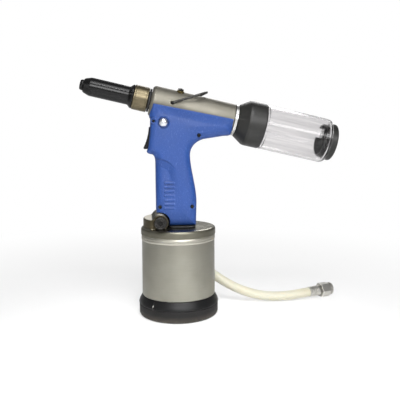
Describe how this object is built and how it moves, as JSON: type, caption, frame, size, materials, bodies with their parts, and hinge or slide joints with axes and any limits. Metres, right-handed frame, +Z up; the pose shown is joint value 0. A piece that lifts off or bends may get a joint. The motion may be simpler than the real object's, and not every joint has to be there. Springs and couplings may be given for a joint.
{
  "type": "pneumatic rivet gun",
  "caption": "Hand-held air-over-oil rivet gun standing on its air cylinder, with pistol grip, tilted pulling head, clear stem bottle and a short air hose.",
  "frame": {"origin": "centre of the underside of the rubber base cup, on the air cylinder's axis", "axes": "+Z up along the air cylinder; -X towards the nose, +X towards the stem bottle; Y = 0 is the plane of the grip, -Y the side of the round button"},
  "size_m": [0.2781, 0.0931, 0.2421],
  "materials": {
    "rubber": "moulded black rubber, matt",
    "anodised": "satin champagne grey anodised aluminium",
    "steel": "turned steel",
    "bright_steel": "bright turned steel ring",
    "chrome": "polished chrome dome",
    "black_steel": "black oxide steel, satin",
    "brass": "nickel brass, turned",
    "black_plastic": "black nylon, satin",
    "blue_plastic": "blue moulded nylon, fine spark texture",
    "clear_plastic": "clear moulded polycarbonate",
    "hose_plastic": "translucent ivory air hose"
  },
  "bodies": {
    "frame": {"base_cup": "rubber", "end_plate_seal": "rubber", "piston_bumper": "rubber", "plunger_seal": "rubber", "foot_gasket": "rubber", "head_seal": "rubber", "rod_seal": "rubber", "bottle_seal": "rubber", "air_cylinder": "anodised", "cylinder_cap": "anodised", "head_body": "anodised", "end_plate": "steel", "return_spring": "steel", "trigger_pin": "steel", "valve_spring": "steel", "inlet_elbow": "steel", "inlet_ferrule": "steel", "hose_ferrule": "steel", "hose_nut": "steel", "rear_plug": "bright_steel", "nosepiece": "black_steel", "nose_housing": "black_steel", "bleed_screw": "black_steel", "port_plug": "black_steel", "handle_screw_upper": "black_steel", "handle_screw_front": "black_steel", "handle_screw_rear": "black_steel", "head_nut": "brass", "valve_body": "brass", "bleed_washer": "brass", "plunger_gland": "brass", "collector_collar": "black_plastic", "air_tube": "black_plastic", "handle_left": "blue_plastic", "handle_right": "blue_plastic", "hose": "hose_plastic"},
    "air_piston": {"air_piston": "anodised", "air_piston_seal": "rubber", "plunger": "steel", "plunger_nut": "steel"},
    "pulling_head": {"draw_piston": "steel", "draw_piston_seal": "rubber", "jaw_case": "black_steel", "jaw_spring": "steel"},
    "jaw_1": {"jaw_1": "steel"},
    "jaw_2": {"jaw_2": "steel"},
    "jaw_3": {"jaw_3": "steel"},
    "jaw_pusher": {"jaw_pusher": "steel"},
    "trigger": {"trigger": "black_plastic"},
    "valve_stem": {"valve_stem": "steel"},
    "suction_button": {"suction_button": "chrome"},
    "hook": {"hook": "black_steel"},
    "bottle": {"bottle": "clear_plastic"},
    "end_cap": {"end_cap": "black_plastic"}
  },
  "joints": [
    {"name": "air_piston_slide", "type": "slide", "parent": "frame", "child": "air_piston", "axis": [0, 0, 1], "range_m": [0, 0.047]},
    {"name": "draw_slide", "type": "slide", "parent": "frame", "child": "pulling_head", "axis": [0.9744, 0, -0.225], "range_m": [0, 0.01506], "deforming": ["return_spring"]},
    {"name": "jaw_1_slide", "type": "slide", "parent": "pulling_head", "child": "jaw_1", "axis": [-0.926, 0, 0.3775], "range_m": [0, 0.00191]},
    {"name": "jaw_2_slide", "type": "slide", "parent": "pulling_head", "child": "jaw_2", "axis": [-0.9798, -0.1382, 0.1443], "range_m": [0, 0.00191]},
    {"name": "jaw_3_slide", "type": "slide", "parent": "pulling_head", "child": "jaw_3", "axis": [-0.9798, 0.1382, 0.1443], "range_m": [0, 0.00191]},
    {"name": "jaw_pusher_slide", "type": "slide", "parent": "pulling_head", "child": "jaw_pusher", "axis": [-0.9744, 0, 0.225], "range_m": [0, 0.00189], "deforming": ["jaw_spring"]},
    {"name": "trigger_pivot", "type": "hinge", "parent": "frame", "child": "trigger", "pos_m": [-0.0249, 0, 0.198], "axis": [0, -1, 0], "range_deg": [0, 9], "stiffness_Nm_per_rad": 0.15, "springref_deg": -8.59},
    {"name": "valve_stem_slide", "type": "slide", "parent": "frame", "child": "valve_stem", "axis": [1, 0, 0], "range_m": [0, 0.00221], "deforming": ["valve_spring"]},
    {"name": "suction_button_push", "type": "slide", "parent": "frame", "child": "suction_button", "axis": [0, 1, 0], "range_m": [0, 0.0022], "stiffness_N_per_m": 300, "springref_m": -0.001},
    {"name": "hook_swing", "type": "hinge", "parent": "frame", "child": "hook", "pos_m": [-0.00593, 0, 0.21592], "axis": [0, -1, 0], "range_deg": [0, 125]},
    {"name": "bottle_turn", "type": "hinge", "parent": "frame", "child": "bottle", "pos_m": [0, 0, 0.2127], "axis": [0.9744, 0, -0.225], "continuous": true},
    {"name": "end_cap_pull", "type": "slide", "parent": "bottle", "child": "end_cap", "axis": [0.9744, 0, -0.225], "range_m": [0, 0.03]}
  ],
  "couplings": [
    {"joint": "draw_slide", "follows": "air_piston_slide", "ratio": 0.32},
    {"joint": "jaw_1_slide", "follows": "air_piston_slide", "ratio": 0.0404},
    {"joint": "jaw_2_slide", "follows": "air_piston_slide", "ratio": 0.0404},
    {"joint": "jaw_3_slide", "follows": "air_piston_slide", "ratio": 0.0404},
    {"joint": "jaw_pusher_slide", "follows": "air_piston_slide", "ratio": 0.0399},
    {"joint": "valve_stem_slide", "follows": "trigger_pivot", "m_per_rad": 0.014}
  ]
}
